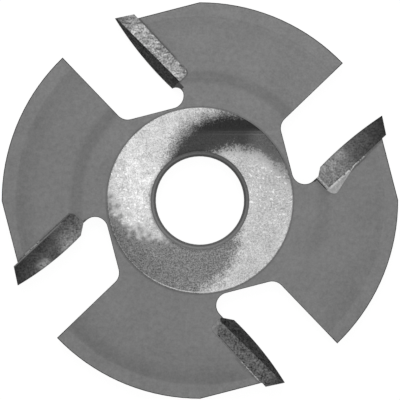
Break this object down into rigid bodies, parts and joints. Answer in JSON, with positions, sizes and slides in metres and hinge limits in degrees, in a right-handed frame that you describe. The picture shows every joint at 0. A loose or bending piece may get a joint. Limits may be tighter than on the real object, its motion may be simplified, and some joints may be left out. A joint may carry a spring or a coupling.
{
  "type": "biscuit joiner blade",
  "caption": "Flat round groove cutter with a ground hub, a plain bore, deep gullets and carbide tips brazed into its rim.",
  "frame": {"origin": "middle of the bore, on the cutter's mid-plane", "axes": "+Z along the bore, out of the face from which the cutter turns anticlockwise; +Y is up in the picture and +X is right"},
  "size_m": [0.0986, 0.0986, 0.004],
  "materials": {
    "body_steel": "satin, with a bright ground hub",
    "carbide": "ground",
    "silver_solder": "satin"
  },
  "bodies": {
    "root": {"blade_body": "body_steel", "carbide_tip_1": "carbide", "solder_1": "silver_solder", "carbide_tip_2": "carbide", "solder_2": "silver_solder", "carbide_tip_3": "carbide", "solder_3": "silver_solder", "carbide_tip_4": "carbide", "solder_4": "silver_solder"}
  },
  "joints": []
}
